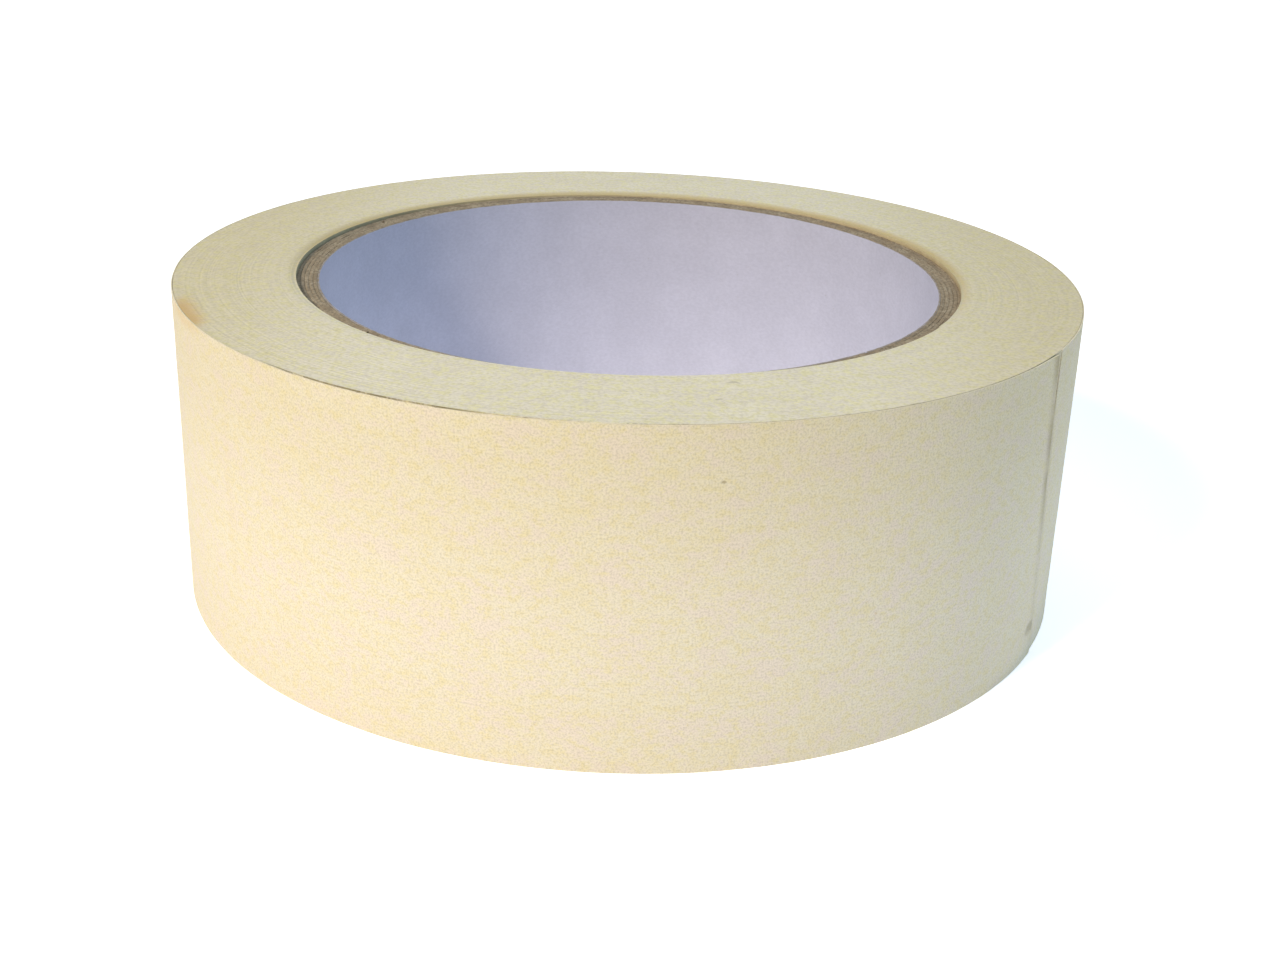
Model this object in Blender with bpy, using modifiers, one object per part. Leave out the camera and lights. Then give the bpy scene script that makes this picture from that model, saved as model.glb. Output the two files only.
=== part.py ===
"""Masking tape roll: crepe paper tape wound on a spiral-wound cardboard core, lying flat.

Metres, +Z up. Z is the roll's axis, and the roll rests on Z = 0. The tape is one strip. Its inner
turns are one solid, its last turn is another, and its free end is a chain of short lengths, each
hinged on the one before it, so that the end can be peeled off the roll.
"""

import math

import bmesh
import bpy
from mathutils import Matrix

# The core: a white paper liner round the bore, then plies of greyboard glued one on another.
CORE_BORE = 0.0762
LINER_THICKNESS = 0.0002
PLY_COUNT = 5
PLY_THICKNESS = 0.00048
CORE_SET_BACK = 0.0008

# The tape, and the roll that it makes.
ROLL_DIAMETER = 0.1106
TAPE_WIDTH = 0.0385
TAPE_THICKNESS = 0.00013

# The film of glue or adhesive between two layers, and the gap between two lengths end to end.
GLUE_LINE = 0.00003
END_GAP = 0.0003

# The free end, from the tape's cut tip back to where it is stuck down. Angles are in degrees.
# The tip is cut a little askew: TIP_SLANT is how far the cut leans along the tape over its width.
TIP_ANGLE = -28.0
TIP_SLANT = 0.0043
FREE_LENGTHS = 10
FACETS_PER_LENGTH = 2
FACETS = 90

FACET_ANGLE = 360.0 / FACETS
LENGTH_ANGLE = FACET_ANGLE * FACETS_PER_LENGTH
FREE_ANGLE = LENGTH_ANGLE * FREE_LENGTHS
TURN_PITCH = TAPE_THICKNESS + GLUE_LINE
END_GAP_ANGLE = math.degrees(END_GAP / (ROLL_DIAMETER / 2))
MERGE_DISTANCE = 0.000001
ANGLE_TOLERANCE = 0.000001

# Each finish is a colour and a roughness. None of them is metallic.
CREPE_PAPER = ((0.83, 0.75, 0.56), 0.85)
GREYBOARD = ((0.30, 0.25, 0.18), 0.95)
WHITE_PAPER = ((0.62, 0.62, 0.68), 0.80)


def clear_scene():
    for obj in list(bpy.data.objects):
        bpy.data.objects.remove(obj, do_unlink=True)


def new_collection(name):
    collection = bpy.data.collections.new(name)
    bpy.context.scene.collection.children.link(collection)
    return collection


def add_material(obj, finish):
    colour, roughness = finish
    material = bpy.data.materials.new(obj.name)
    material.use_nodes = True
    shader = material.node_tree.nodes["Principled BSDF"]
    shader.inputs["Base Color"].default_value = (*colour, 1.0)
    shader.inputs["Roughness"].default_value = roughness
    shader.inputs["Metallic"].default_value = 0.0
    obj.data.materials.append(material)


def spiral_point(behind_tip, depth):
    """A point of the wound tape, seen from above: behind_tip degrees back along the last turn from
    the tape's tip, and depth below its outside. One turn back, the radius is one turn's pitch less.
    """
    angle = math.radians(TIP_ANGLE - behind_tip)
    radius = ROLL_DIAMETER / 2 - TURN_PITCH * behind_tip / 360.0 - depth
    return (radius * math.cos(angle), radius * math.sin(angle))


def steps_along(first, last):
    """The two places on the tape, in degrees behind its tip, with the facet corners between them."""
    low = math.floor(first / FACET_ANGLE + ANGLE_TOLERANCE) + 1
    high = math.ceil(last / FACET_ANGLE - ANGLE_TOLERANCE)
    return [first, *(step * FACET_ANGLE for step in range(low, high)), last]


def tape_outline(first, last):
    """The edge, seen from above, of the last turn's tape between two places on it."""
    steps = steps_along(first, last)
    outside = [spiral_point(step, 0.0) for step in steps]
    inside = [spiral_point(step, TAPE_THICKNESS) for step in reversed(steps)]
    return outside + inside


def circle_outline(radius):
    """A circle, with its corners in line with those of the wound tape."""
    angles = [math.radians(TIP_ANGLE - step * FACET_ANGLE) for step in range(FACETS)]
    return [(radius * math.cos(angle), radius * math.sin(angle)) for angle in angles]


def add_flat_solid(name, outlines, origin, finish, collection):
    """A solid as high as the tape is wide, from flat outlines. Its own origin is at half height."""
    curve = bpy.data.curves.new(name, "CURVE")
    curve.dimensions = "2D"
    curve.fill_mode = "BOTH"
    curve.extrude = TAPE_WIDTH / 2
    for outline in outlines:
        spline = curve.splines.new("POLY")
        spline.points.add(len(outline) - 1)
        for point, (x, y) in zip(spline.points, outline):
            point.co = (x - origin[0], y - origin[1], 0.0, 1.0)
        spline.use_cyclic_u = True
    obj = bpy.data.objects.new(name, curve)
    obj.location = (origin[0], origin[1], TAPE_WIDTH / 2)
    collection.objects.link(obj)
    add_material(obj, finish)
    return obj


def curve_to_mesh(obj):
    """The same object with a welded mesh in place of its curve, so that it can be cut."""
    bpy.context.view_layer.update()
    graph = bpy.context.evaluated_depsgraph_get()
    mesh = bpy.data.meshes.new_from_object(obj.evaluated_get(graph))
    welded = bmesh.new()
    welded.from_mesh(mesh)
    bmesh.ops.remove_doubles(welded, verts=welded.verts, dist=MERGE_DISTANCE)
    welded.to_mesh(mesh)
    welded.free()
    name, place, collection = obj.name, obj.matrix_world.copy(), obj.users_collection[0]
    bpy.data.objects.remove(obj, do_unlink=True)
    made = bpy.data.objects.new(name, mesh)
    made.matrix_world = place
    collection.objects.link(made)
    return made


def add_core_tube(name, inner_radius, outer_radius, finish, collection):
    """One ply of the core: an upright rectangle turned about Z, with its outer side drawn first."""
    bottom = CORE_SET_BACK
    top = TAPE_WIDTH - CORE_SET_BACK
    corners = [(outer_radius, top), (outer_radius, bottom), (inner_radius, bottom), (inner_radius, top)]
    mesh = bpy.data.meshes.new(name)
    mesh.from_pydata([(x, 0.0, z) for x, z in corners], [(0, 1), (1, 2), (2, 3), (3, 0)], [])
    obj = bpy.data.objects.new(name, mesh)
    obj.rotation_euler.z = math.radians(TIP_ANGLE)
    collection.objects.link(obj)
    turn = obj.modifiers.new("turn", "SCREW")
    turn.angle = math.tau
    turn.steps = FACETS
    turn.render_steps = FACETS
    turn.use_merge_vertices = True
    turn.merge_threshold = MERGE_DISTANCE
    turn.use_smooth_shade = False
    add_material(obj, finish)
    return obj


def add_core(collection):
    """The liner and the plies, from the bore outwards. Gives the core's outer radius."""
    radius = CORE_BORE / 2
    layers = [("core_liner", LINER_THICKNESS, WHITE_PAPER)]
    layers += [(f"core_ply_{number}", PLY_THICKNESS, GREYBOARD) for number in range(1, PLY_COUNT + 1)]
    for name, thickness, finish in layers:
        add_core_tube(name, radius, radius + thickness, finish, collection)
        radius += thickness + GLUE_LINE
    return radius - GLUE_LINE


def add_wound_tape(core_radius, collection):
    """Every turn but the last, as one solid. Its outside is a spiral with a step under the tip,
    where the last turn goes on round."""
    spiral = [spiral_point(step, TURN_PITCH) for step in steps_along(0.0, 360.0)]
    hole = circle_outline(core_radius + GLUE_LINE)
    add_flat_solid("wound_tape", [spiral, hole], (0.0, 0.0), CREPE_PAPER, collection)


def add_last_turn(collection):
    """The last turn, from where the free end is stuck down round to the step under the tip."""
    outline = tape_outline(FREE_ANGLE + END_GAP_ANGLE, 360.0 - END_GAP_ANGLE)
    add_flat_solid("last_turn", [outline], (0.0, 0.0), CREPE_PAPER, collection)


def add_tip_cutter(collection):
    """A block that stands where the tape has been cut off, leaning along the tape with the cut."""
    size = 2 * TAPE_WIDTH
    cutter_mesh = bpy.data.meshes.new("tip_cutter")
    block = bmesh.new()
    bmesh.ops.create_cube(block, size=size, matrix=Matrix.Translation((0.0, size / 2, 0.0)))
    block.to_mesh(cutter_mesh)
    block.free()
    cutter = bpy.data.objects.new("tip_cutter", cutter_mesh)
    lean = Matrix.Rotation(math.atan2(TIP_SLANT, TAPE_WIDTH), 4, "X")
    x, y = spiral_point(0.0, TAPE_THICKNESS)
    turned = Matrix.Rotation(math.radians(TIP_ANGLE), 4, "Z")
    cutter.matrix_world = Matrix.Translation((x, y, TAPE_WIDTH / 2)) @ turned @ lean
    cutter.hide_render = True
    cutter.display_type = "WIRE"
    collection.objects.link(cutter)
    return cutter


def add_free_end(collection, cutters):
    """The free end, from where it is stuck down out to the tip. Each length has its origin on its
    hinge, which is a line across the outside of the tape, and is carried by the length before it."""
    carrier = None
    carrier_hinge = (0.0, 0.0)
    for number in range(1, FREE_LENGTHS + 1):
        last = FREE_ANGLE - LENGTH_ANGLE * (number - 1)
        first = last - LENGTH_ANGLE
        hinge = spiral_point(last, 0.0)
        is_tip = number == FREE_LENGTHS
        low = -FACET_ANGLE if is_tip else first
        outline = tape_outline(low, last - END_GAP_ANGLE)
        name = f"free_end_{number:02d}"
        length = add_flat_solid(name, [outline], hinge, CREPE_PAPER, collection)
        if is_tip:
            length = curve_to_mesh(length)
            cut = length.modifiers.new("tip_cut", "BOOLEAN")
            cut.operation = "DIFFERENCE"
            cut.object = add_tip_cutter(cutters)
        if carrier is not None:
            length.parent = carrier
            length.location = (hinge[0] - carrier_hinge[0], hinge[1] - carrier_hinge[1], 0.0)
        carrier = length
        carrier_hinge = hinge


clear_scene()
parts = new_collection("masking_tape_roll")
cutters = new_collection("cutters")
core_radius = add_core(parts)
add_wound_tape(core_radius, parts)
add_last_turn(parts)
add_free_end(parts, cutters)
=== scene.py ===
import math

import bmesh
import bpy
import numpy as np
from mathutils import Matrix, Vector


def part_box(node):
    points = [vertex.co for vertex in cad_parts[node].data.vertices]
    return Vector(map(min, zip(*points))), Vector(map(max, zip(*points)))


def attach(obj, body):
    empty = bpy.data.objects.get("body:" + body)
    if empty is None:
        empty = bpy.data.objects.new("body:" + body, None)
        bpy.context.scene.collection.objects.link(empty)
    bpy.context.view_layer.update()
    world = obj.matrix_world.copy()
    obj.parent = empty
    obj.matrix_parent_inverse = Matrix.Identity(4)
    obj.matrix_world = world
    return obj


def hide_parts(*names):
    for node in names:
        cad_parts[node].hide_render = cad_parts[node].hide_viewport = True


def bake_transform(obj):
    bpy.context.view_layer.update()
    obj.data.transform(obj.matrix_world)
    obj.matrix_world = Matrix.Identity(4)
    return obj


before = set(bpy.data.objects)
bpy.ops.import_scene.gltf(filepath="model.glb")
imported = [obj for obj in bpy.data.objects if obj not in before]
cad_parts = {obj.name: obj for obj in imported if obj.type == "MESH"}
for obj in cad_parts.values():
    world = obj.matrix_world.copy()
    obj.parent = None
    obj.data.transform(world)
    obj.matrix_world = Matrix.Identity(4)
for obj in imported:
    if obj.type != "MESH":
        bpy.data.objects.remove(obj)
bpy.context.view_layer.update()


# ---- Core liner --------------------------------------------------------------------------------
# The bore of the core is lined with white paper. It is the first strip to go on the winding
# mandrel, laid on at a slant, so that its two edges meet in one slanting seam round the bore.

LINER_THICKNESS = 0.0002
LINER_STRIP_WIDTH = 0.110
LINER_SEAM_AT_FOOT = math.radians(-152.0)
LINER_SEAM_GAP = 0.0003
LINER_STEPS = 220
LINER_ROWS = 30
LINER_WOBBLE = 0.00003
LINER_SEED = 11

# The core's top end is cut this much out of square, its walls wave over the first of these lengths,
# and its cut ends fray over the second.
CORE_LEAN = 0.00025
CORE_WAVE_LENGTH = 0.009
CORE_FRAY_LENGTH = 0.0016
WALL_WAVE_SHARE = 0.5
CUT_END_TOLERANCE = 0.000001

COCKLE_WAVES = 9
COCKLE_SCALE = 1.6
SHARP_EDGE_ANGLE = math.radians(40)

LINER_WHITE = (0.585, 0.585, 0.70)
LINER_SHADE = (0.555, 0.555, 0.665)
LINER_FIBRE_SHADE = (0.90, 0.90, 0.91)
LINER_FLECK = (0.44, 0.42, 0.46)
LINER_CUT = (0.30, 0.245, 0.185)
CLEAR = (1.0, 1.0, 1.0)
LINER_FIBRE_SIZE = 0.0005
LINER_FIBRE_STRETCH = (1.0, 1.0, 1.6)
LINER_CLOUD_SIZE = 0.007
LINER_FLECK_SIZE = 0.0006
LINER_RUB_SIZE = 0.0009
LINER_RELIEF = 0.00003

# A strip's sides carry materials in this order.
OUTER_FACE = 0
INNER_FACE = 1
CUT_FACE = 2

# Blender's numbers for the sockets of its colour mixing node.
MIX_FACTOR = 0
MIX_FIRST = 6
MIX_SECOND = 7
MIX_RESULT = 2

liner_low, liner_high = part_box("core_liner")
core_foot = liner_low.z
core_top = liner_high.z


def cockle(along, across, length, seed):
    """Gentle waves in paper, from about -1 to 1: slanting sine waves of random lengths added up."""
    waves = np.random.default_rng(seed)
    total = np.zeros(np.broadcast(along, across).shape)
    for _ in range(COCKLE_WAVES):
        turn = waves.uniform(0, math.tau)
        size = length * waves.uniform(0.6, 1.9)
        phase = waves.uniform(0, math.tau)
        total += np.sin((along * math.cos(turn) + across * math.sin(turn)) * math.tau / size + phase)
    return total / COCKLE_WAVES * COCKLE_SCALE


def paper_object(name, mesh, flat):
    """The mesh as an object in the scene, with its faces turned outwards and its folds kept sharp.
    flat gives each point's place along and across the flat strip, in metres, as the UV map."""
    corner_points = np.zeros(len(mesh.loops), np.int32)
    mesh.loops.foreach_get("vertex_index", corner_points)
    mesh.uv_layers.new(name="tape").uv.foreach_set("vector", flat[corner_points].ravel())
    turned = bmesh.new()
    turned.from_mesh(mesh)
    bmesh.ops.recalc_face_normals(turned, faces=turned.faces)
    turned.to_mesh(mesh)
    turned.free()
    mesh.shade_smooth()
    mesh.set_sharp_from_angle(angle=SHARP_EDGE_ANGLE)
    made = bpy.data.objects.new(name, mesh)
    bpy.context.scene.collection.objects.link(made)
    return made


def swept_strip(name, sections, along, across, side_materials):
    """A closed strip of paper. sections is a grid of points: each row is the outline of the
    strip's cut section at one place along it. side_materials has a material number for each side
    of that outline. along and across are each point's place on the flat strip, in metres."""
    rows, corners = sections.shape[:2]
    index = np.arange(rows * corners).reshape(rows, corners)
    following = np.roll(index, -1, axis=1)
    sides = np.stack([index[:-1], index[1:], following[1:], following[:-1]], axis=-1)
    faces = sides.reshape(-1, 4).tolist()
    faces.append(index[0].tolist())
    faces.append(index[-1][::-1].tolist())
    mesh = bpy.data.meshes.new(name)
    mesh.from_pydata(sections.reshape(-1, 3).tolist(), [], faces)
    numbers = side_materials * (rows - 1) + [OUTER_FACE, OUTER_FACE]
    mesh.polygons.foreach_set("material_index", numbers)
    flat = np.stack([along.reshape(-1), across.reshape(-1)], axis=-1)
    return paper_object(name, mesh, flat)


def tube_section(inside, outside, wall_rows, crown):
    """The cut section of one ply of the core, as (radius, height) corners: up the outer wall, over
    the top edge, down the inner wall and back under the foot. crown lifts the middle of the edges."""
    middle = (inside + outside) / 2
    walls = np.linspace(core_foot, core_top, wall_rows)
    up = [(outside, z) for z in walls]
    down = [(inside, z) for z in walls[::-1]]
    corners = up + [(middle, core_top + crown)] + down + [(middle, core_foot - crown)]
    outer_side = [OUTER_FACE] * (wall_rows - 1)
    inner_side = [INNER_FACE] * (wall_rows - 1)
    cut_side = [CUT_FACE, CUT_FACE]
    return np.array(corners), outer_side + cut_side + inner_side + cut_side


def spiral_ply(name, inside, outside, strip_width, seam_at_foot, seam_gap, steps, rows, wobble, seed):
    """One ply of the core as it was wound: a strip laid on at a slant. The knife has cut its top
    end a little out of square, so that it stands lower at the front."""
    round_it = math.tau * (inside + outside) / 2
    slant = math.asin(strip_width / round_it)
    lead = math.tau / (round_it * math.tan(slant))
    outline, side_materials = tube_section(inside, outside, rows, wobble)
    share = np.linspace(0.0, 1.0, steps)[:, None]
    radius = outline[None, :, 0]
    height = outline[None, :, 1]
    sweep = math.tau - seam_gap / inside
    angle = seam_at_foot + lead * (height - core_foot) + share * sweep
    waves = cockle(angle * radius, height, CORE_WAVE_LENGTH, seed) * wobble
    at_top = (height > core_top - CUT_END_TOLERANCE) * 1.0
    at_foot = (height < core_foot + CUT_END_TOLERANCE) * 1.0
    cut_end = at_top - at_foot
    lean = CORE_LEAN * np.sin(angle) * (height - core_foot) / (core_top - core_foot)
    fray = cut_end * cockle(angle * radius, radius, CORE_FRAY_LENGTH, seed + 1) * wobble
    level = height + lean + fray
    radius = radius + waves * (1 - np.abs(cut_end)) * WALL_WAVE_SHARE
    points = np.stack([radius * np.cos(angle), radius * np.sin(angle), level], axis=-1)
    along = angle * radius
    across = np.broadcast_to(height, along.shape)
    return swept_strip(name, points, along, across, side_materials)


def new_material(name):
    """A material, its node tree and the shader in it."""
    material = bpy.data.materials.new(name)
    material.use_nodes = True
    tree = material.node_tree
    return material, tree, tree.nodes["Principled BSDF"]


def put(tree, kind, sockets=None, **settings):
    """A shader node with its settings, and each of its named sockets set or linked."""
    made = tree.nodes.new("ShaderNode" + kind)
    for setting, value in settings.items():
        setattr(made, setting, value)
    for socket, value in (sockets or {}).items():
        if isinstance(value, bpy.types.NodeSocket):
            tree.links.new(value, made.inputs[socket])
        else:
            made.inputs[socket].default_value = value
    return made


def grain(tree, where, size, detail=3.0, roughness=0.55, stretch=CLEAR):
    """Noise in patches about size across, from 0 to 1. stretch above 1 makes them narrower along
    that axis, and below 1 longer."""
    place = put(tree, "Mapping", {"Vector": where, "Scale": stretch}).outputs["Vector"]
    sockets = {"Vector": place, "Scale": 1.0 / size, "Detail": detail, "Roughness": roughness}
    return put(tree, "TexNoise", sockets).outputs["Fac"]


def between(tree, value, low, high):
    """0 at low, 1 at high, smooth between them and level beyond them. low may be the larger."""
    sockets = {"Value": value, "From Min": low, "From Max": high}
    return put(tree, "MapRange", sockets, interpolation_type="SMOOTHSTEP").outputs["Result"]


def mixed(tree, factor, first, second, blend="MIX"):
    """Two colours mixed by a factor. A colour is a socket or a tuple of three numbers."""
    first, second = ((*colour, 1.0) if isinstance(colour, tuple) else colour for colour in (first, second))
    sockets = {MIX_FACTOR: factor, MIX_FIRST: first, MIX_SECOND: second}
    return put(tree, "Mix", sockets, data_type="RGBA", blend_type=blend).outputs[MIX_RESULT]


def toned(tree, colour, *tones):
    """A colour multiplied by each of the tones."""
    for tone in tones:
        colour = mixed(tree, 1.0, colour, tone, "MULTIPLY")
    return colour


def worked(tree, operation, *numbers):
    """One step of arithmetic on numbers, each a socket or a plain number."""
    return put(tree, "Math", dict(enumerate(numbers)), operation=operation).outputs["Value"]


def times(tree, product, *factors):
    """Numbers multiplied together."""
    for factor in factors:
        product = worked(tree, "MULTIPLY", product, factor)
    return product


def colour_of(tree, shader, colour, roughness):
    """Gives a shader its colour and how matt it is."""
    tree.links.new(colour, shader.inputs["Base Color"])
    shader.inputs["Roughness"].default_value = roughness


def relief_of(tree, shader, height, distance, strength):
    """Gives a shader fine relief of that many metres."""
    made = put(tree, "Bump", {"Height": height, "Distance": distance, "Strength": strength})
    tree.links.new(made.outputs["Normal"], shader.inputs["Normal"])


def liner_paper():
    """Uncoated white paper: short fibres, a faint cloudy look and a few grey flecks."""
    material, tree, shader = new_material("liner_paper")
    where = put(tree, "TexCoord").outputs["Object"]
    fibres = grain(tree, where, LINER_FIBRE_SIZE, 4.0, stretch=LINER_FIBRE_STRETCH)
    clouds = grain(tree, where, LINER_CLOUD_SIZE, 2.0)
    cloudy = mixed(tree, between(tree, clouds, 0.35, 0.7), LINER_SHADE, LINER_WHITE)
    fibrous = mixed(tree, between(tree, fibres, 0.25, 0.75), LINER_FIBRE_SHADE, CLEAR)
    flecks = between(tree, grain(tree, where, LINER_FLECK_SIZE, 1.0), 0.77, 0.84)
    colour_of(tree, shader, mixed(tree, flecks, toned(tree, cloudy, fibrous), LINER_FLECK), 0.72)
    relief_of(tree, shader, fibres, LINER_RELIEF, 0.6)
    return material


def soiled_paper_edge():
    """The liner's cut edge, rubbed brown by the board beside it."""
    material, tree, shader = new_material("soiled_paper_edge")
    where = put(tree, "TexCoord").outputs["Object"]
    clean = between(tree, grain(tree, where, LINER_RUB_SIZE), 0.35, 0.65)
    colour_of(tree, shader, mixed(tree, times(tree, clean, 0.35), LINER_CUT, LINER_SHADE), 0.9)
    return material


liner = spiral_ply(
    "core_liner_paper", liner_high.x - LINER_THICKNESS, liner_high.x, LINER_STRIP_WIDTH,
    LINER_SEAM_AT_FOOT, LINER_SEAM_GAP, LINER_STEPS, LINER_ROWS, LINER_WOBBLE, LINER_SEED,
)
liner_material = liner_paper()
for material in (liner_material, liner_material, soiled_paper_edge()):
    liner.data.materials.append(material)
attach(liner, "roll")
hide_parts("core_liner")


# ---- Greyboard plies ---------------------------------------------------------------------------
# Strips of grey-brown recycled board, glued one over another round the liner, each with its own
# slanting butt joint. A knife has cut the tube to length, which leaves a soft, fibrous edge.

PLY_THICKNESS = 0.00048
PLY_STRIP_WIDTH = 0.118
PLY_STRIP_STEP = 0.004
PLY_SEAM_TURN = math.radians(137.0)
PLY_SEAM_GAP = 0.0005
PLY_STEPS = 220
PLY_ROWS = 26
PLY_FRAY = 0.00007
PLY_SEED = 20

BOARD_BROWN = (0.315, 0.24, 0.16)
BOARD_PALE = (0.42, 0.345, 0.245)
BOARD_DARK = (0.23, 0.185, 0.13)
BOARD_TONES = (0.86, 1.08)
BOARD_TONE_SEED = 7
BOARD_FIBRE_SIZE = 0.00035
BOARD_LUMP_SIZE = 0.0022
BOARD_RELIEF = 0.00012


def greyboard(tone):
    """Recycled board: matted fibres in several browns, with painted shade in the hollows of the cut edge.
    """
    material, tree, shader = new_material("greyboard")
    where = put(tree, "TexCoord").outputs["Object"]
    fibres = grain(tree, where, BOARD_FIBRE_SIZE, 5.0, 0.65)
    lumps = grain(tree, where, BOARD_LUMP_SIZE, 2.0)
    brown = mixed(tree, between(tree, lumps, 0.3, 0.7), BOARD_BROWN, BOARD_PALE)
    # Painted shade: the darkest brown lies in the hollows of the fibres.
    board = mixed(tree, between(tree, fibres, 0.56, 0.40), brown, BOARD_DARK)
    colour_of(tree, shader, toned(tree, board, (tone, tone, tone)), 0.95)
    relief_of(tree, shader, fibres, BOARD_RELIEF, 0.8)
    return material


board_tones = np.random.default_rng(BOARD_TONE_SEED)
ply_names = sorted(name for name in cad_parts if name.startswith("core_ply_"))
for number, name in enumerate(ply_names):
    ply_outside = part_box(name)[1].x
    ply = spiral_ply(
        name + "_board", ply_outside - PLY_THICKNESS, ply_outside,
        PLY_STRIP_WIDTH - PLY_STRIP_STEP * number, LINER_SEAM_AT_FOOT + PLY_SEAM_TURN * (number + 1),
        PLY_SEAM_GAP, PLY_STEPS, PLY_ROWS, PLY_FRAY, PLY_SEED + 2 * number,
    )
    board_material = greyboard(board_tones.uniform(*BOARD_TONES))
    for _ in range(3):
        ply.data.materials.append(board_material)
    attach(ply, "roll")
    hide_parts(name)


# ---- Wound tape --------------------------------------------------------------------------------
# Every turn but the last of one long strip of tape, cream crepe paper with adhesive on its inner
# side, wound tight under tension. Each turn's edge lies a hair above or below its neighbour's, so
# the flat side shows fine rings.

ROLL_RADIUS = 0.0553
TIP_ANGLE = math.radians(-28.0)
TIP_SLANT = 0.0043
TURNS = 90
PACK_STEPS = 180
GROOVE_SHARE = 0.2

# The edges lie unevenly: in broad rings, in short waves, and turn by turn.
RING_BAND = 0.000012
RING_REACH = 4 * PACK_STEPS
EDGE_STEP = 0.000007
WAVE_REACH = 14
RING_SEED = 3
WAVE_SEED = 5
TURN_SEED = 9

# The outermost of these turns is this much smaller under the free end, which can so bend clear.
TUCK = 0.00007
TUCK_END = math.radians(96.0)
TUCK_FADE = math.radians(12.0)

# The innermost turns dip towards the core, most at the back.
INNER_DIP = 0.00030
DIP_REACH = 0.0016

# At the front left the outermost of them has slipped down. The angles are degrees round the roll.
LOOSE_TURN_DROP = 0.00024
LOOSE_START = 231.0
LOOSE_RISE = 9.0
LOOSE_END = 278.0
LOOSE_FALL = 30.0

EDGE_CREAM = (0.875, 0.815, 0.675)
EDGE_GREY = (0.83, 0.765, 0.645)
EDGE_YELLOW = (0.85, 0.79, 0.52)
# Painted shade on the flat side, to the left and right.
EDGE_SIDE_SHADE = (0.88, 0.85, 0.75)
EDGE_AGED = (0.52, 0.41, 0.19)
EDGE_SCUFF = (0.40, 0.35, 0.23)
RING_SHADE = (0.975, 0.972, 0.965)
BAND_SHADE = (0.97, 0.97, 0.965)
DUST_SHADE = (0.86, 0.85, 0.83)
# Painted shade and dust in the gap under the last turn.
GAP_SHADE_AND_DUST = (0.24, 0.20, 0.115)
RIM_STAIN = (0.66, 0.42, 0.16)
FINE_RINGS = 1.3
BROAD_RINGS = 0.11
EDGE_PATCH_SIZE = 0.0055
EDGE_DUST_SIZE = 0.0004
EDGE_MOTTLE_SIZE = 0.0012
EDGE_BIT_SIZE = 0.0007
EDGE_RELIEF = 0.00005
# The painted shade to the left and right runs between these distances sideways.
SIDE_SHADE_FROM = 0.032
SIDE_SHADE_TO = 0.062
AGED_REACH = 0.0017
AGED_FULL = 0.0001
RIM_STAIN_REACH = 0.0030
RIM_STAIN_FULL = 0.0004

# Painted shade and dust lie in the gap under the last turn, darkest where that stands open and faint
# # where it is shut. Each reach runs from its end to where it is full, as cosines of the angle from its
# # middle. The gap is counted in turns from the outside of the roll.
GAP_EDGE = 2.6
GAP_FULL = 2.3
OPEN_MIDDLE = math.radians(-117.0)
OPEN_REACH = (0.960, 0.985)
SHUT_MIDDLE = math.radians(-92.0)
SHUT_REACH = (0.70, 0.80)
GAP_DASH_SIZE = 0.0030
GAP_DASH_STRETCH = (1.0, 1.0, 0.1)

CREPE_CREAM = (0.72, 0.665, 0.54)
CREPE_YELLOW = (0.715, 0.65, 0.49)
CREPE_DEEP = (0.705, 0.63, 0.415)
CREPE_PINK = (0.72, 0.64, 0.555)
CREPE_STAIN = (0.62, 0.46, 0.24)
CREPE_FIBRE_SHADE = (0.82, 0.81, 0.79)
CREPE_FIBRE_LIGHT = (1.03, 1.03, 1.03)
CRINKLE_SHADE = (0.965, 0.96, 0.95)
# Painted light at the foot of the strip and painted shade towards its rim.
FOOT_PAINTED_LIGHT = (1.06, 1.06, 1.06)
RIM_PAINTED_SHADE = (0.93, 0.91, 0.84)
# Grime, and the painted shadow along the cut tip and the step beside it.
GRIME_AND_SHADOW = (0.30, 0.24, 0.13)
TIP_LINE_REACH = 0.0016
TIP_LINE_PATCH_SIZE = 0.006
TIP_LINE_PATCH_STRETCH = (0.3, 1.0, 1.0)
TIP_LINE_LOW = 0.010
TIP_LINE_HIGH = 0.026
CRINKLE_SIZE = 0.00042
CRINKLE_STRETCH = (1.0, 0.28, 1.0)
CREPE_FIBRE_SIZE = 0.00022
CREPE_MOTTLE_SIZE = 0.0009
CREPE_MOTTLE_STRETCH = (0.7, 1.0, 1.0)
CREPE_BLOTCH_SIZE = 0.0040
CREPE_BLOTCH_STRETCH = (0.6, 1.0, 1.0)
CREPE_FLUSH_SIZE = 0.0035
CREPE_BIT_SIZE = 0.0006
CREPE_RELIEF = 0.00008

OLD_GLUE = (0.78, 0.69, 0.47)
DARK_GLUE = (0.52, 0.43, 0.27)
OLD_GLUE_SIZE = 0.0018
OLD_GLUE_RELIEF = 0.00003
OLD_GLUE_RAGGED = 0.0008
BROWNED_FROM = 0.0004
BROWNED_TO = 0.0014

tape_low, tape_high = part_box("wound_tape")
tape_foot = tape_low.z
tape_top = tape_high.z
tape_width = tape_top - tape_foot
core_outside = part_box(ply_names[-1])[1].x
turn_pitch = (ROLL_RADIUS - core_outside) / TURNS

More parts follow.
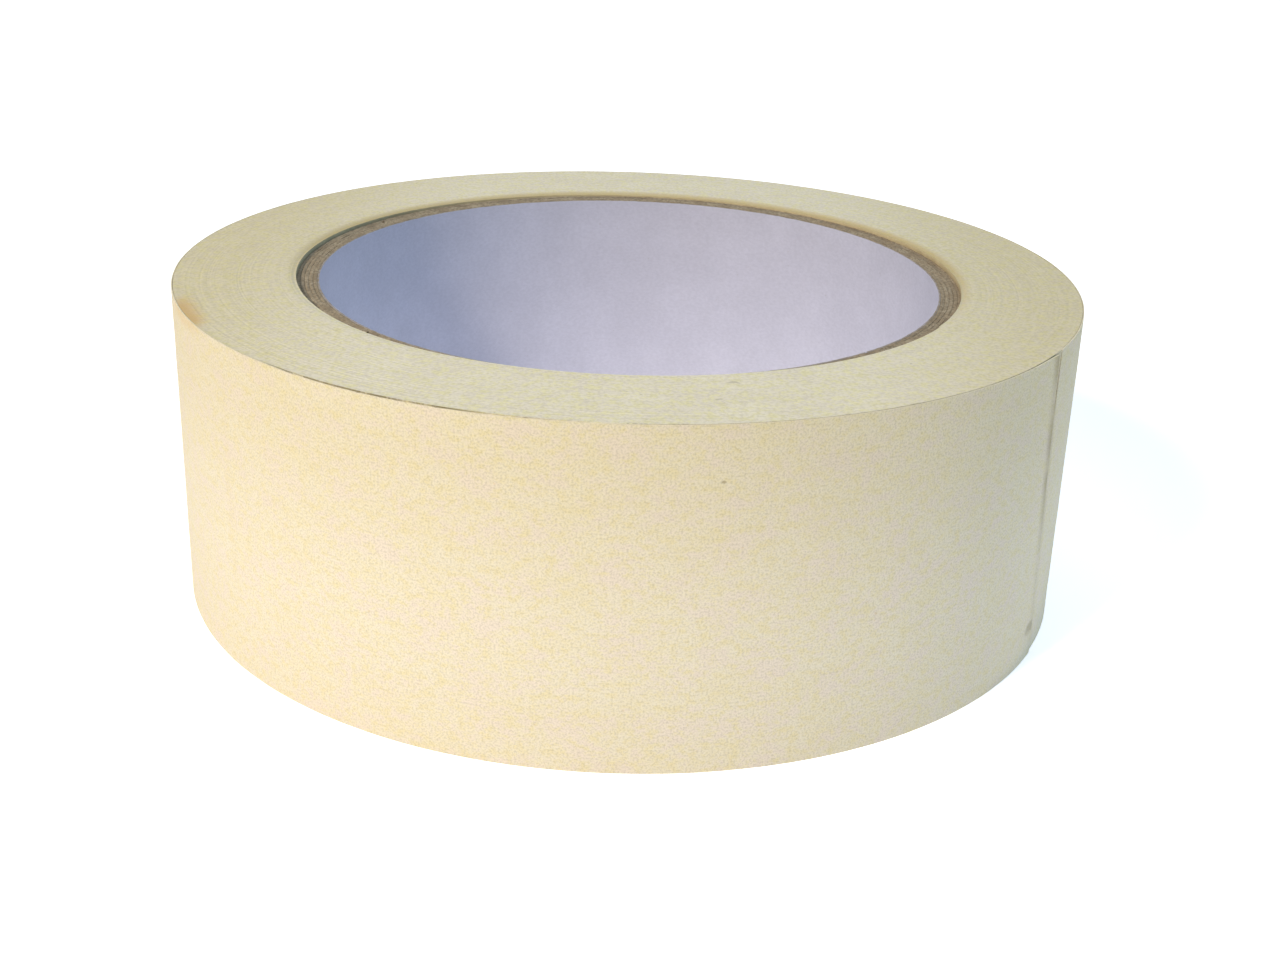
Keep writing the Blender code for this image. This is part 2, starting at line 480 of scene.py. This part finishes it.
# Each mark has its middle, its size, and how ragged its edge is. The first three lie on the upper
# flat side. The others lie on the flat strip, behind the tip and above the foot, with no depth.
RIM_STAIN_ANGLE = math.radians(-151.0)
RIM_MARK = (
    (ROLL_RADIUS * math.cos(RIM_STAIN_ANGLE), ROLL_RADIUS * math.sin(RIM_STAIN_ANGLE), tape_top),
    (0.0045, 0.0100, 0.002),
    0.0022,
)
FIRST_SCUFF = ((0.0122, -0.0418, tape_top), (0.0011, 0.0003, 0.001), 0.0012)
SECOND_SCUFF = ((0.0108, -0.0470, tape_top), (0.0007, 0.0003, 0.001), 0.0009)
CREASE = ((math.radians(111.0) * ROLL_RADIUS, 0.020, 0.0), (0.0011, 0.016, math.inf), 0.003)
WALL_STAIN = ((math.radians(123.0) * ROLL_RADIUS, tape_width, 0.0), (0.0080, 0.0018, math.inf), 0.002)
TIP_MARK = ((0.0010 - 0.40 * TIP_SLANT, 0.0041, 0.0), (0.0019, 0.0014, math.inf), 0.0016)
SPECK = (
    (math.radians(50.0) * ROLL_RADIUS - 0.0001, 0.845 * tape_width, 0.0),
    (0.00040, 0.00022, math.inf),
    0.0002,
)


def tape_radius(behind_tip):
    """The outside of the tape at an angle behind its tip, in radians. It falls turn by turn."""
    return ROLL_RADIUS - turn_pitch * behind_tip / math.tau


def smooth_random(count, reach, seed):
    """Random heights from about -1 to 1 that change smoothly over reach samples."""
    raw = np.random.default_rng(seed).normal(size=count + 2 * reach)
    window = np.hanning(2 * reach + 1)
    smoothed = np.convolve(raw, window, mode="same")[reach:-reach]
    return smoothed / smoothed.std() * 0.5


def loose_turn(angle):
    """1 at the front left, where the outermost turn beneath the last one has slipped down."""
    turned = (np.degrees(angle) + 360.0) % 360.0
    rise = np.clip((turned - LOOSE_START) / LOOSE_RISE, 0, 1)
    fall = np.clip((LOOSE_END - turned) / LOOSE_FALL, 0, 1)
    return rise * rise * (3 - 2 * rise) * fall * fall * (3 - 2 * fall)


def pack_points(behind):
    """The outer and the inner edge of the wound turns at angles behind their outer end, as four
    long spirals: two on the upper flat side, then two on the lower one."""
    count = len(behind)
    angle = TIP_ANGLE - behind
    outer = tape_radius(behind + math.tau)
    inner = outer - turn_pitch * (1 - GROOVE_SHARE)
    outer = outer - TUCK * np.clip((TUCK_END - behind) / TUCK_FADE, 0, 1)
    rings = smooth_random(count, RING_REACH, RING_SEED) * RING_BAND
    slipped = LOOSE_TURN_DROP * loose_turn(angle) * (behind < math.tau)
    spirals = []
    for side, level in ((1, tape_top), (-1, tape_foot)):
        waves = smooth_random(count, WAVE_REACH, WAVE_SEED + side) * EDGE_STEP
        each_turn = smooth_random(TURNS + 1, 1, TURN_SEED + side)
        steps = np.repeat(each_turn, PACK_STEPS)[:count] * EDGE_STEP
        height = level - side * np.abs(rings + waves + steps) - side * slipped
        for radius in (outer, inner):
            near_core = np.clip(1 - (radius - core_outside) / DIP_REACH, 0, 1)
            at_back = 0.5 + 0.5 * np.sin(angle)
            dipped = height - side * INNER_DIP * (near_core**2 * at_back)
            spirals.append(np.stack([radius * np.cos(angle), radius * np.sin(angle), dipped], axis=-1))
    return np.concatenate(spirals)


def band(one, other):
    """The faces between two lines of points."""
    return list(zip(one, one[1:], other[1:], other))


def wound_pack(name):
    """The wound turns as one spiral ledge on each flat side, with a wall outside and inside. The
    ledges and grooves have material 0, the outer wall and the ends 1, and the inner wall 2."""
    count = (TURNS - 1) * PACK_STEPS + 1
    behind = np.arange(count) * math.tau / PACK_STEPS
    points = pack_points(behind)
    top_out, top_in, foot_out, foot_in = np.arange(4 * count).reshape(4, count).tolist()
    turn = PACK_STEPS
    flat_sides = []
    for out_edge, in_edge in ((top_out, top_in), (foot_out, foot_in)):
        flat_sides += band(out_edge, in_edge) + band(in_edge[:-turn], out_edge[turn:])
    outer_wall = band(top_out[: turn + 1], foot_out[: turn + 1])
    inner_wall = band(top_in[-turn - 1 :], foot_in[-turn - 1 :])
    ends = [
        (top_out[0], top_in[0], foot_in[0], foot_out[0]),
        (top_in[0], top_out[turn], foot_out[turn], foot_in[0]),
        (top_in[-1 - turn], top_out[-1], foot_out[-1], foot_in[-1 - turn]),
        (top_out[-1], top_in[-1], foot_in[-1], foot_out[-1]),
    ]
    mesh = bpy.data.meshes.new(name)
    mesh.from_pydata(points.tolist(), [], flat_sides + outer_wall + inner_wall + ends)
    numbers = [0] * len(flat_sides) + [1] * len(outer_wall) + [2] * len(inner_wall) + [1] * len(ends)
    mesh.polygons.foreach_set("material_index", numbers)
    along = np.tile((behind + math.tau) * ROLL_RADIUS, 4)
    flat = np.stack([along, points[:, 2] - tape_foot], axis=-1)
    return paper_object(name, mesh, flat)


def blot(tree, where, place, size, ragged):
    """1 in the middle of a blot of that size, with a ragged edge, and 0 outside it."""
    noise = put(tree, "TexNoise", {"Vector": where, "Scale": 1.0 / ragged, "Detail": 3.0})
    shift = put(tree, "VectorMath", {0: noise.outputs["Color"], 1: (0.5, 0.5, 0.5)}, operation="SUBTRACT")
    strength = (ragged, ragged, ragged)
    moved = put(tree, "VectorMath", {0: shift.outputs["Vector"], 1: strength}, operation="MULTIPLY")
    ragged_where = put(tree, "VectorMath", {0: where, 1: moved.outputs["Vector"]}, operation="ADD")
    apart = put(tree, "VectorMath", {0: ragged_where.outputs["Vector"], 1: place}, operation="SUBTRACT")
    reach = tuple(1.0 / length for length in size)
    scaled = put(tree, "VectorMath", {0: apart.outputs["Vector"], 1: reach}, operation="MULTIPLY")
    distance = put(tree, "VectorMath", {0: scaled.outputs["Vector"]}, operation="LENGTH").outputs["Value"]
    return between(tree, distance, 1.0, 0.35)


def facing(tree, outward, angle):
    """The cosine of the angle round the roll from a place to that one."""
    first = times(tree, outward["X"], math.cos(angle))
    second = times(tree, outward["Y"], math.sin(angle))
    return worked(tree, "ADD", first, second)


def ring_tones(tree, away, outward):
    """Fine and broad rings on the flat side, each a little darker or lighter than the next."""
    turn_number = times(tree, away, 1.0 / turn_pitch)
    rings = put(tree, "CombineXYZ", {"X": turn_number, "Y": outward["X"], "Z": outward["Y"]})
    where = rings.outputs["Vector"]
    fine = put(tree, "TexNoise", {"Vector": where, "Scale": FINE_RINGS, "Detail": 3.0}).outputs["Fac"]
    broad = put(tree, "TexNoise", {"Vector": where, "Scale": BROAD_RINGS, "Detail": 2.0}).outputs["Fac"]
    ringed = mixed(tree, between(tree, fine, 0.2, 0.7), RING_SHADE, CLEAR)
    banded = mixed(tree, between(tree, broad, 0.3, 0.7), BAND_SHADE, CLEAR)
    return ringed, banded


def shade_and_dust_in_gap(tree, where, away, outward):
    """How much painted shade and dust lie between the last turn and the one below it, in broken dashes."""
    in_gap = between(tree, away, ROLL_RADIUS - GAP_EDGE * turn_pitch, ROLL_RADIUS - GAP_FULL * turn_pitch)
    dashes = grain(tree, where, GAP_DASH_SIZE, 4.0, 0.7, GAP_DASH_STRETCH)
    open_reach = between(tree, facing(tree, outward, OPEN_MIDDLE), *OPEN_REACH)
    shut_reach = between(tree, facing(tree, outward, SHUT_MIDDLE), *SHUT_REACH)
    open_gap = times(tree, open_reach, between(tree, dashes, 0.36, 0.54))
    shut_gap = times(tree, shut_reach, between(tree, dashes, 0.54, 0.64), 0.7)
    return times(tree, in_gap, worked(tree, "MAXIMUM", open_gap, shut_gap), 0.75)


def tape_edges():
    """The cut edges of the turns: rings of slightly different creams, a few dusty or yellowed,
    browner by the core at the back, with two scuffs and a stain on the rim. Painted shade darkens
    them to the left and right, and lies with dust in the gap under the last turn."""
    material, tree, shader = new_material("tape_edges")
    where = put(tree, "TexCoord").outputs["Object"]
    place = put(tree, "SeparateXYZ", {"Vector": where}).outputs
    level = put(tree, "CombineXYZ", {"X": place["X"], "Y": place["Y"]}).outputs["Vector"]
    away = put(tree, "VectorMath", {0: level}, operation="LENGTH").outputs["Value"]
    direction = put(tree, "VectorMath", {0: level}, operation="NORMALIZE").outputs["Vector"]
    outward = put(tree, "SeparateXYZ", {"Vector": direction}).outputs
    patches = grain(tree, where, EDGE_PATCH_SIZE)
    dust = grain(tree, where, EDGE_DUST_SIZE, 4.0, 0.6)
    mottle = grain(tree, where, EDGE_MOTTLE_SIZE, 4.0, 0.75)
    cream = mixed(tree, between(tree, patches, 0.35, 0.7), EDGE_GREY, EDGE_CREAM)
    warm = mixed(tree, between(tree, mottle, 0.44, 0.62), cream, EDGE_YELLOW)
    speckled = mixed(tree, between(tree, dust, 0.32, 0.62), DUST_SHADE, CLEAR)
    ringed, banded = ring_tones(tree, away, outward)
    clean = toned(tree, warm, ringed, banded, speckled)
    bits = between(tree, grain(tree, where, EDGE_BIT_SIZE, 1.0), 0.745, 0.80)
    dirty = mixed(tree, times(tree, bits, 0.5), clean, EDGE_SCUFF)
    # Painted shade: the flat side is darker and yellower to the left and right than at the front.
    sideways = worked(tree, "ABSOLUTE", place["X"])
    uneven = worked(tree, "ADD", sideways, times(tree, patches, 0.02))
    side_shade_mask = between(tree, uneven, SIDE_SHADE_FROM, SIDE_SHADE_TO)
    side_shaded = mixed(tree, side_shade_mask, dirty, toned(tree, dirty, EDGE_SIDE_SHADE))
    near_core = between(tree, away, core_outside + AGED_REACH, core_outside - AGED_FULL)
    far_side = between(tree, outward["Y"], -0.55, 0.35)
    aged = mixed(tree, times(tree, near_core, far_side, 0.85), side_shaded, EDGE_AGED)
    scuffs = worked(tree, "MAXIMUM", blot(tree, where, *FIRST_SCUFF), blot(tree, where, *SECOND_SCUFF))
    scuffed = mixed(tree, times(tree, scuffs, 0.5), aged, EDGE_SCUFF)
    # Painted shade and dust in the gap under the last turn.
    dusty = mixed(tree, shade_and_dust_in_gap(tree, where, away, outward), scuffed, GAP_SHADE_AND_DUST)
    near_rim = between(tree, away, ROLL_RADIUS - RIM_STAIN_REACH, ROLL_RADIUS - RIM_STAIN_FULL)
    stain = times(tree, blot(tree, where, *RIM_MARK), near_rim, 0.75)
    colour_of(tree, shader, mixed(tree, stain, dusty, RIM_STAIN), 0.82)
    relief_of(tree, shader, dust, EDGE_RELIEF, 0.5)
    return material


def from_cut(tree, place, start):
    """How far along the tape a place is from the slanting cut of its tip, which is at start."""
    slant = times(tree, place["Y"], TIP_SLANT / tape_width)
    line = worked(tree, "ADD", slant, start - TIP_SLANT / 2)
    return worked(tree, "SUBTRACT", place["X"], line)


def marked(tree, where, place, clean):
    """Grime and painted shadow along the cut tip and on the turn beside it, and the marks of handling:
    a stain on the rim, a crease, a dirty spot at the tip's foot and a speck."""
    at_tip = from_cut(tree, place, 0.0)
    beside_tip = from_cut(tree, place, math.tau * ROLL_RADIUS)
    patches = grain(tree, where, TIP_LINE_PATCH_SIZE, 2.0, stretch=TIP_LINE_PATCH_STRETCH)
    patchy = between(tree, patches, 0.15, 0.62)
    upper = worked(tree, "ADD", between(tree, place["Y"], TIP_LINE_LOW, TIP_LINE_HIGH), 0.35)
    on_tip = between(tree, at_tip, TIP_LINE_REACH, 0.0)
    from_step = worked(tree, "ABSOLUTE", worked(tree, "ADD", beside_tip, 0.5 * TIP_LINE_REACH))
    at_step = times(tree, between(tree, from_step, 0.9 * TIP_LINE_REACH, 0.1 * TIP_LINE_REACH), 0.6)
    # The dark line along the cut tip and the step beside it is grime and painted shadow.
    edge = times(tree, worked(tree, "MAXIMUM", on_tip, at_step), times(tree, patchy, upper))
    tip_grime_and_shadow = mixed(tree, times(tree, edge, 0.50), clean, GRIME_AND_SHADOW)
    creased = mixed(tree, times(tree, blot(tree, where, *CREASE), 0.07), tip_grime_and_shadow, CREPE_STAIN)
    stained = mixed(tree, times(tree, blot(tree, where, *WALL_STAIN), 0.5), creased, CREPE_STAIN)
    spotted = mixed(tree, times(tree, blot(tree, where, *TIP_MARK), 0.5), stained, GRIME_AND_SHADOW)
    return mixed(tree, times(tree, blot(tree, where, *SPECK), 0.7), spotted, GRIME_AND_SHADOW)


def crinkles(tree, where):
    """The crinkles of crepe paper, which run across the strip."""
    return grain(tree, where, CRINKLE_SIZE, 4.0, 0.6, CRINKLE_STRETCH)


def crepe_paper():
    """Paper crinkled across its length, saturated and coated so that it peels off its own roll. Its
    crinkles are flat and low, and its cream colour is blotchy. Painted light makes it lighter at the
    foot, and painted shade darker and a little yellower towards the rim."""
    material, tree, shader = new_material("crepe_paper")
    where = put(tree, "UVMap", uv_map="tape").outputs["UV"]
    place = put(tree, "SeparateXYZ", {"Vector": where}).outputs
    crinkle = crinkles(tree, where)
    fibres = grain(tree, where, CREPE_FIBRE_SIZE, 3.0, 0.6)
    mottle = grain(tree, where, CREPE_MOTTLE_SIZE, 5.0, 0.75, CREPE_MOTTLE_STRETCH)
    blotches = grain(tree, where, CREPE_BLOTCH_SIZE, stretch=CREPE_BLOTCH_STRETCH)
    flushes = grain(tree, where, CREPE_FLUSH_SIZE, 5.0, 0.7, CREPE_MOTTLE_STRETCH)
    blotched = mixed(tree, between(tree, blotches, 0.42, 0.75), CREPE_CREAM, CREPE_YELLOW)
    deep = mixed(tree, between(tree, mottle, 0.44, 0.64), blotched, CREPE_DEEP)
    unmottled = times(tree, worked(tree, "SUBTRACT", 0.5, mottle), 0.8)
    flushed = between(tree, worked(tree, "ADD", flushes, unmottled), 0.45, 0.68)
    paper = mixed(tree, flushed, deep, CREPE_PINK)
    fibrous = mixed(tree, between(tree, fibres, 0.30, 0.60), CREPE_FIBRE_SHADE, CREPE_FIBRE_LIGHT)
    crinkled = mixed(tree, between(tree, crinkle, 0.25, 0.55), CRINKLE_SHADE, CLEAR)
    # Painted light and shade across the strip: lighter at the foot, darker and yellower towards the rim.
    towards_rim = between(tree, place["Y"], 0.3 * tape_width, 1.05 * tape_width)
    yellowed = mixed(tree, towards_rim, FOOT_PAINTED_LIGHT, RIM_PAINTED_SHADE)
    plain = toned(tree, paper, toned(tree, fibrous, crinkled), yellowed)
    bits = between(tree, grain(tree, where, CREPE_BIT_SIZE, 1.0), 0.725, 0.79)
    clean = mixed(tree, times(tree, bits, 0.4), plain, CREPE_STAIN)
    colour_of(tree, shader, marked(tree, where, place, clean), 0.78)
    relief = worked(tree, "ADD", crinkle, times(tree, fibres, 0.35))
    relief_of(tree, shader, relief, CREPE_RELIEF, 0.6)
    return material


def old_adhesive():
    """The innermost turn's sticky side, browned with age a little below its upper edge."""
    material, tree, shader = new_material("old_adhesive")
    where = put(tree, "TexCoord").outputs["Object"]
    place = put(tree, "SeparateXYZ", {"Vector": where}).outputs
    uneven = grain(tree, where, OLD_GLUE_SIZE)
    depth = worked(tree, "SUBTRACT", tape_top, place["Z"])
    ragged = worked(tree, "ADD", depth, times(tree, uneven, OLD_GLUE_RAGGED))
    browned = between(tree, ragged, BROWNED_FROM, BROWNED_TO)
    colour_of(tree, shader, mixed(tree, browned, OLD_GLUE, DARK_GLUE), 0.6)
    relief_of(tree, shader, uneven, OLD_GLUE_RELIEF, 0.5)
    return material


crepe = crepe_paper()
pack = wound_pack("wound_turns")
for material in (tape_edges(), crepe, old_adhesive()):
    pack.data.materials.append(material)
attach(pack, "roll")
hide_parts("wound_tape")


# ---- Last turn ---------------------------------------------------------------------------------
# The outermost turn of the tape, as far round as it is stuck down. It lies over all the others,
# and its upper edge stands a little off them at the front left.

FREE_ANGLE = math.radians(80.0)
TAPE_THICKNESS = 0.00013
TURN_STEP = math.radians(0.5)
FACE_ROWS = 40
TAPE_COCKLE = 0.000035
TAPE_COCKLE_LENGTH = 0.011
TAPE_COCKLE_SEED = 41
EDGE_FLARE = 0.00018
FLARE_DEPTH = 0.0035
TIP_LIFT = 0.00025
TIP_LIFT_AT_FOOT = 0.05
TIP_CURL = 0.0032

GLUE_DEEP = (0.72, 0.61, 0.38)
GLUE_PALE = (0.76, 0.66, 0.45)
GLUE_SHADE = (0.86, 0.85, 0.82)
GLUE_CLOUD_SIZE = 0.012
GLUE_RELIEF = 0.00006
SLIT_CREAM = (0.78, 0.70, 0.52)
SLIT_PALE = (0.86, 0.78, 0.60)
SLIT_FIBRE_SIZE = 0.0008
GAP_MIDDLE = (TIP_ANGLE - OPEN_MIDDLE) * ROLL_RADIUS
GAP_REACH = math.radians(15.0) * ROLL_RADIUS


def tip_place(height):
    """How far behind the tip's middle the slanting cut lies, in radians, at a height."""
    share = (height - tape_foot) / tape_width - 0.5
    return share * TIP_SLANT / ROLL_RADIUS


def tape_offset(behind, height):
    """How far the tape stands off its true spiral: waves, a flared edge, and the curl at its tip."""
    along = behind * ROLL_RADIUS
    waves = cockle(along, height, TAPE_COCKLE_LENGTH, TAPE_COCKLE_SEED) * TAPE_COCKLE
    near_top = np.clip(1 - (tape_top - height) / FLARE_DEPTH, 0, 1)
    flare = EDGE_FLARE * near_top**2 * loose_turn(TIP_ANGLE - behind)
    from_tip = (behind - tip_place(height)) * ROLL_RADIUS
    corner = TIP_LIFT_AT_FOOT + (1 - TIP_LIFT_AT_FOOT) * (height - tape_foot) / tape_width
    curl = TIP_LIFT * corner * np.clip(1 - from_tip / TIP_CURL, 0, 1) ** 2
    return np.abs(waves) + flare + curl


def tape_length(name, first, last):
    """A length of the last turn, between two angles behind the tip. first may be tip_place, which
    makes that end follow the slanting cut."""
    rows = np.linspace(tape_foot, tape_top, FACE_ROWS)
    height = np.concatenate([rows, rows[::-1]])
    depth = np.repeat([0.0, TAPE_THICKNESS], FACE_ROWS)
    outer_side = [OUTER_FACE] * (FACE_ROWS - 1)
    inner_side = [INNER_FACE] * (FACE_ROWS - 1)
    start = first(height) if callable(first) else np.full(len(height), first)
    end = np.full(len(height), last)
    steps = max(3, int(round(abs(end.mean() - start.mean()) / TURN_STEP)) + 1)
    share = np.linspace(0.0, 1.0, steps)[:, None]
    behind = start + (end - start) * share
    radius = tape_radius(behind) - depth + tape_offset(behind, height)
    angle = TIP_ANGLE - behind
    level = np.broadcast_to(height, behind.shape)
    points = np.stack([radius * np.cos(angle), radius * np.sin(angle), level], axis=-1)
    side_materials = outer_side + [CUT_FACE] + inner_side + [CUT_FACE]
    made = swept_strip(name, points, behind * ROLL_RADIUS, level - tape_foot, side_materials)
    for material in (crepe, adhesive, slit_edge):
        made.data.materials.append(material)
    return made


def adhesive_side():
    """The sticky side: pale yellow rubber adhesive with the crinkles showing through, half glossy."""
    material, tree, shader = new_material("adhesive_side")
    where = put(tree, "UVMap", uv_map="tape").outputs["UV"]
    crinkle = crinkles(tree, where)
    clouds = grain(tree, where, GLUE_CLOUD_SIZE, 2.0)
    glue = mixed(tree, between(tree, clouds, 0.35, 0.7), GLUE_DEEP, GLUE_PALE)
    crinkled = mixed(tree, between(tree, crinkle, 0.25, 0.6), GLUE_SHADE, CLEAR)
    colour_of(tree, shader, toned(tree, glue, crinkled), 0.42)
    relief_of(tree, shader, crinkle, GLUE_RELIEF, 0.7)
    return material


def cut_tape_edge():
    """The slit edge of the strip itself, a thin line of cream paper. The upper one is darkened in
    dashes where it stands off the roll, by painted shade and dust."""
    material, tree, shader = new_material("cut_tape_edge")
    where = put(tree, "UVMap", uv_map="tape").outputs["UV"]
    place = put(tree, "SeparateXYZ", {"Vector": where}).outputs
    fibres = grain(tree, where, SLIT_FIBRE_SIZE)
    paper = mixed(tree, between(tree, fibres, 0.3, 0.7), SLIT_CREAM, SLIT_PALE)
    from_middle = worked(tree, "ABSOLUTE", worked(tree, "SUBTRACT", place["X"], GAP_MIDDLE))
    in_reach = between(tree, from_middle, GAP_REACH, 0.85 * GAP_REACH)
    top_edge = between(tree, place["Y"], 0.4 * tape_width, 0.6 * tape_width)
    dashes = between(tree, grain(tree, where, GAP_DASH_SIZE, 4.0, 0.7), 0.48, 0.62)
    # Painted shade and dust on the upper edge, where it stands off the roll.
    dusty = times(tree, in_reach, top_edge, dashes, 0.7)
    colour_of(tree, shader, mixed(tree, dusty, paper, GAP_SHADE_AND_DUST), 0.85)
    return material


adhesive = adhesive_side()
slit_edge = cut_tape_edge()
last_turn = tape_length("last_turn_tape", FREE_ANGLE, math.tau)
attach(last_turn, "roll")
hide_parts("last_turn")


# ---- Free end ----------------------------------------------------------------------------------
# The last stretch of the tape up to its cut tip, which a finger picks off the roll. The cut was
# made by hand, a little askew. Each hinge of the frame bends one short length of the strip.

LENGTH_ANGLE = math.radians(8.0)
HALF_LENGTH = LENGTH_ANGLE / 2


free_names = sorted(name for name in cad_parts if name.startswith("free_end_"))
for number, name in enumerate(free_names):
    hinge = FREE_ANGLE - LENGTH_ANGLE * number
    rooted = number == 0
    behind_hinge = hinge if rooted else hinge + HALF_LENGTH
    before_hinge = hinge - HALF_LENGTH
    length = tape_length(name + "_tape", before_hinge, behind_hinge)
    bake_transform(length)
    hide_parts(name)
tip = tape_length("free_end_tip", tip_place, HALF_LENGTH)
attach(tip, free_names[-1])


# ---- Floor, light and camera -------------------------------------------------------------------
# The roll lies on a plain white table, lit by a warm lamp at the front left, cool daylight from
# the right and a soft ceiling. The table glows a little, so that it stays white in every view.

FLOOR_HALF_SIZE = 6.0
FLOOR_COLOUR = (0.96, 0.90, 0.86, 1.0)
FLOOR_GLOW_COLOUR = (0.83, 0.91, 1.0, 1.0)
TABLE_GLOW = 0.66
BACKDROP_GLOW = 0.80
GLOW_EDGE = 0.06
TABLE_GLOW_REACH = 0.14
BACKDROP_GLOW_REACH = 0.16
STUDIO_COLOUR = (0.86, 0.96, 1.0, 1.0)
STUDIO_STRENGTH = 0.08

CAMERA_DISTANCE = 0.22925
CAMERA_ELEVATION = math.radians(24.742)
CAMERA_AIM = Vector((0.00214, 0.0, 0.01004))
CAMERA_TURN = math.radians(2.0)
CAMERA_ROLL = math.radians(2.009)
CAMERA_LENS = 48.48
CAMERA_NEAREST = 0.01
SENSOR_WIDTH = 36.0

floor_mesh = bpy.data.meshes.new("floor")
floor_builder = bmesh.new()
bmesh.ops.create_grid(floor_builder, x_segments=1, y_segments=1, size=FLOOR_HALF_SIZE)
floor_builder.to_mesh(floor_mesh)
floor_builder.free()
floor = bpy.data.objects.new("floor", floor_mesh)
bpy.context.scene.collection.objects.link(floor)
floor_material, floor_tree, floor_shader = new_material("floor")
floor_shader.inputs["Base Color"].default_value = FLOOR_COLOUR
floor_shader.inputs["Roughness"].default_value = 0.9
floor_shader.inputs["Emission Color"].default_value = FLOOR_GLOW_COLOUR
floor_place = put(floor_tree, "TexCoord").outputs["Object"]
floor_reach = put(floor_tree, "VectorMath", {0: floor_place}, operation="LENGTH").outputs["Value"]
near = between(floor_tree, floor_reach, TABLE_GLOW_REACH, GLOW_EDGE)
far = between(floor_tree, floor_reach, GLOW_EDGE, BACKDROP_GLOW_REACH)
near_glow = times(floor_tree, near, TABLE_GLOW)
far_glow = times(floor_tree, far, BACKDROP_GLOW)
floor_glow = worked(floor_tree, "ADD", near_glow, far_glow)
floor_tree.links.new(floor_glow, floor_shader.inputs["Emission Strength"])
floor_mesh.materials.append(floor_material)

roll_centre = Vector((0.0, 0.0, tape_top / 2))


def area_light(name, place, size, power, colour):
    """A soft square lamp that points at the middle of the roll."""
    light = bpy.data.lights.new(name, "AREA")
    light.size = size
    light.energy = power
    light.color = colour
    lamp = bpy.data.objects.new(name, light)
    lamp.location = place
    lamp.rotation_euler = (roll_centre - Vector(place)).to_track_quat("-Z", "Y").to_euler()
    bpy.context.scene.collection.objects.link(lamp)


area_light("warm_lamp", (-0.437, -0.559, 0.574), size=0.14, power=5.6, colour=(1.0, 0.885, 0.70))
area_light("cool_window", (0.72, 0.02, 0.40), size=0.60, power=1.1, colour=(0.10, 0.60, 1.0))
area_light("ceiling", (0.05, 0.25, 0.95), size=0.80, power=4.7, colour=(0.85, 0.92, 1.0))

studio = bpy.data.worlds.new("studio")
studio.use_nodes = True
studio.node_tree.nodes["Background"].inputs["Color"].default_value = STUDIO_COLOUR
studio.node_tree.nodes["Background"].inputs["Strength"].default_value = STUDIO_STRENGTH
bpy.context.scene.world = studio
bpy.context.scene.view_settings.view_transform = "Standard"

camera_data = bpy.data.cameras.new("camera")
camera_data.lens = CAMERA_LENS
camera_data.sensor_width = SENSOR_WIDTH
camera_data.clip_start = CAMERA_NEAREST
camera = bpy.data.objects.new("camera", camera_data)
towards_camera = Vector((0.0, -math.cos(CAMERA_ELEVATION), math.sin(CAMERA_ELEVATION)))
turn_round = Matrix.Rotation(CAMERA_TURN, 3, "Z")
camera_place = turn_round @ towards_camera * CAMERA_DISTANCE
looking = (turn_round @ CAMERA_AIM - camera_place).to_track_quat("-Z", "Y").to_matrix().to_4x4()
camera.matrix_world = Matrix.Translation(camera_place) @ looking @ Matrix.Rotation(CAMERA_ROLL, 4, "Z")
bpy.context.scene.collection.objects.link(camera)
bpy.context.scene.camera = camera
